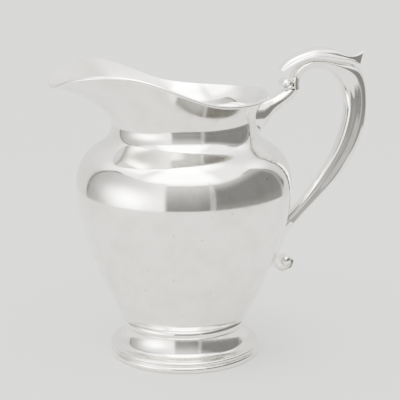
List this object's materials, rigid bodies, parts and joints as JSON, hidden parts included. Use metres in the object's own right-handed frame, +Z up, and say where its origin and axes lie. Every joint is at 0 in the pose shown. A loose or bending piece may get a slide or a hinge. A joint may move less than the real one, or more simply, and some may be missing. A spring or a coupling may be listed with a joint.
{
  "type": "water pitcher",
  "caption": "Footed baluster water pitcher in polished silver with a wide let-in spout and a cast scroll handle with a thumb cap.",
  "frame": {"origin": "centre of the bounding box's underside, on the plane the foot stands on", "axes": "+X towards the handle, -X towards the spout, +Z up; both sides of the XZ plane are alike"},
  "size_m": [0.2344, 0.1534, 0.217],
  "materials": {
    "bowl_silver": "polished silver, finely scratched by use and cleaning",
    "upper_shell_silver": "polished silver, finely scratched by use and cleaning",
    "spout_silver": "polished silver, finely scratched by use and cleaning",
    "rim_wire_silver": "polished silver, finely scratched by use and cleaning",
    "collar_bead_silver": "polished silver, finely scratched by use and cleaning",
    "foot_silver": "polished silver, finely scratched by use and cleaning",
    "base_ring_silver": "polished silver, finely scratched by use and cleaning",
    "handle_root_silver": "polished silver, finely scratched by use and cleaning",
    "upper_volute_silver": "polished silver, finely scratched by use and cleaning",
    "handle_left_half_silver": "polished silver, finely scratched by use and cleaning",
    "handle_right_half_silver": "polished silver, finely scratched by use and cleaning",
    "thumb_cap_silver": "polished silver, finely scratched by use and cleaning",
    "tail_scroll_silver": "polished silver, finely scratched by use and cleaning",
    "scroll_bead_silver": "polished silver, finely scratched by use and cleaning"
  },
  "bodies": {
    "root": {"bowl": "bowl_silver", "upper_shell": "upper_shell_silver", "spout": "spout_silver", "rim_wire": "rim_wire_silver", "collar_bead": "collar_bead_silver", "foot": "foot_silver", "base_ring": "base_ring_silver", "handle_root": "handle_root_silver", "upper_volute": "upper_volute_silver", "handle_left_half": "handle_left_half_silver", "handle_right_half": "handle_right_half_silver", "thumb_cap": "thumb_cap_silver", "tail_scroll": "tail_scroll_silver", "scroll_bead": "scroll_bead_silver"}
  },
  "joints": []
}
